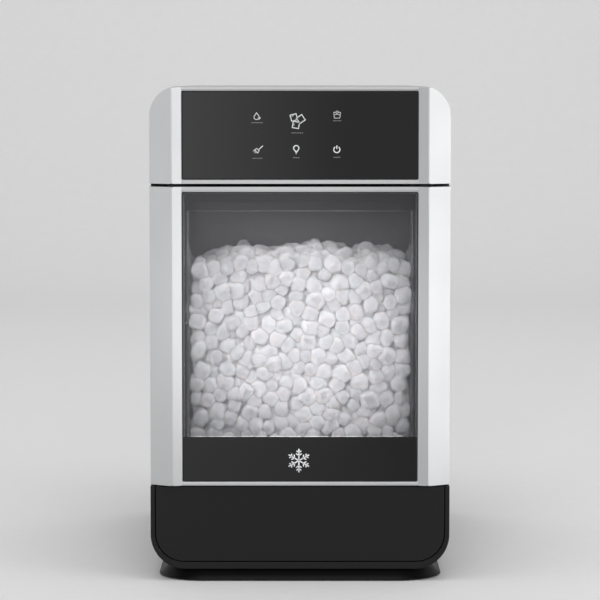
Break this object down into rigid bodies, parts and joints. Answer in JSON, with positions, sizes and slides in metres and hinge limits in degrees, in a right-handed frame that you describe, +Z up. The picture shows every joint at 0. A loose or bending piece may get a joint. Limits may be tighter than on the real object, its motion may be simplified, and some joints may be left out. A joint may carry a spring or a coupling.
{
  "type": "ice maker",
  "caption": "Countertop nugget ice maker: silver and black cabinet, window drawer with a clear bin of ice, touch head, hinged fill lid, auger unit and fan.",
  "frame": {"origin": "centre of the footprint, on the surface that the feet stand on", "axes": "+Z up, -Y towards the front with the window, +X to the right as seen from the front"},
  "size_m": [0.266, 0.42, 0.44],
  "materials": {
    "silver_wrap": "satin silver paint",
    "silver_moulding": "satin silver paint",
    "black_panel": "polished black",
    "smoked_window": "smoked, clear",
    "black_shell": "fine satin texture",
    "dark_base": "satin black",
    "liner_black": "smooth moulded",
    "clear_plastic": "clear, polished",
    "ice": "translucent white, wet",
    "rubber": "matt",
    "foam": "rigid foam",
    "steel": "turned and brushed",
    "zinc": "zinc plated sheet and casting",
    "copper": "drawn copper tube",
    "enamel": "black enamel",
    "board": "coated circuit board",
    "lamp": "frosted diffuser",
    "nylon": "moulded nylon",
    "grey_plastic": "moulded"
  },
  "bodies": {
    "cabinet": {"upper_wrap": "silver_wrap", "head_frame": "silver_moulding", "control_glass": "black_panel", "lower_tub": "black_shell", "base_fascia": "black_shell", "rear_panel": "black_shell", "fan_shroud": "black_shell", "plinth": "dark_base", "bin_liner": "liner_black", "fill_basin": "liner_black", "reservoir_cover": "liner_black", "ice_chute": "liner_black", "fill_hose": "clear_plastic", "foot_front_left": "rubber", "foot_front_right": "rubber", "foot_rear_left": "rubber", "foot_rear_right": "rubber", "rear_spacer_left": "rubber", "rear_spacer_right": "rubber", "mouth_seal": "rubber", "cord_gland": "rubber", "liner_foam": "foam", "evaporator_foam": "foam", "lid_hinge_pin": "steel", "evaporator": "steel", "extruder_head": "steel", "condenser_core": "steel", "rail_left": "zinc", "rail_right": "zinc", "gearbox_cover": "zinc", "auger_motor": "zinc", "chassis_tray": "zinc", "suction_line": "copper", "discharge_line": "copper", "filter_drier": "copper", "gearbox_case": "enamel", "compressor": "enamel", "touch_board": "board", "power_board": "board", "bin_lamp": "lamp", "float_stem": "nylon", "bearing_housing": "nylon", "water_reservoir": "grey_plastic", "water_pump": "grey_plastic", "drain_spout": "grey_plastic"},
    "drawer": {"drawer_frame": "silver_moulding", "window_pane": "smoked_window", "lower_band": "black_panel", "drawer_tray": "liner_black", "ice_bin": "clear_plastic", "ice_heap": "ice", "runner_left": "zinc", "runner_right": "zinc"},
    "lid": {"fill_lid": "silver_wrap"},
    "fan": {"fan_rotor": "black_shell"},
    "auger_shaft": {"auger": "steel", "output_gear": "nylon"},
    "pinion": {"motor_pinion": "zinc"},
    "float": {"float_ring": "nylon"},
    "stopper": {"drain_cap": "rubber"}
  },
  "joints": [
    {"name": "drawer_slide", "type": "slide", "parent": "cabinet", "child": "drawer", "axis": [0, -1, 0], "range_m": [0, 0.135]},
    {"name": "lid_hinge", "type": "hinge", "parent": "cabinet", "child": "lid", "pos_m": [0, 0.1765, 0.4358], "axis": [-1, 0, 0], "range_deg": [0, 100]},
    {"name": "fan_spin", "type": "hinge", "parent": "cabinet", "child": "fan", "pos_m": [0.06, 0.1555, 0.26], "axis": [0, 1, 0], "continuous": true},
    {"name": "auger_spin", "type": "hinge", "parent": "cabinet", "child": "auger_shaft", "pos_m": [-0.048, 0.062, 0.2], "axis": [0, 0, 1], "continuous": true},
    {"name": "pinion_spin", "type": "hinge", "parent": "cabinet", "child": "pinion", "pos_m": [-0.048, 0.1005, 0.045], "axis": [0, 0, 1], "continuous": true},
    {"name": "float_slide", "type": "slide", "parent": "cabinet", "child": "float", "axis": [0, 0, 1], "range_m": [0, 0.02]},
    {"name": "drain_cap_pull", "type": "slide", "parent": "cabinet", "child": "stopper", "axis": [0, 1, 0], "range_m": [0, 0.03]}
  ],
  "couplings": [
    {"joint": "pinion_spin", "follows": "auger_spin", "ratio": -2.6667}
  ]
}
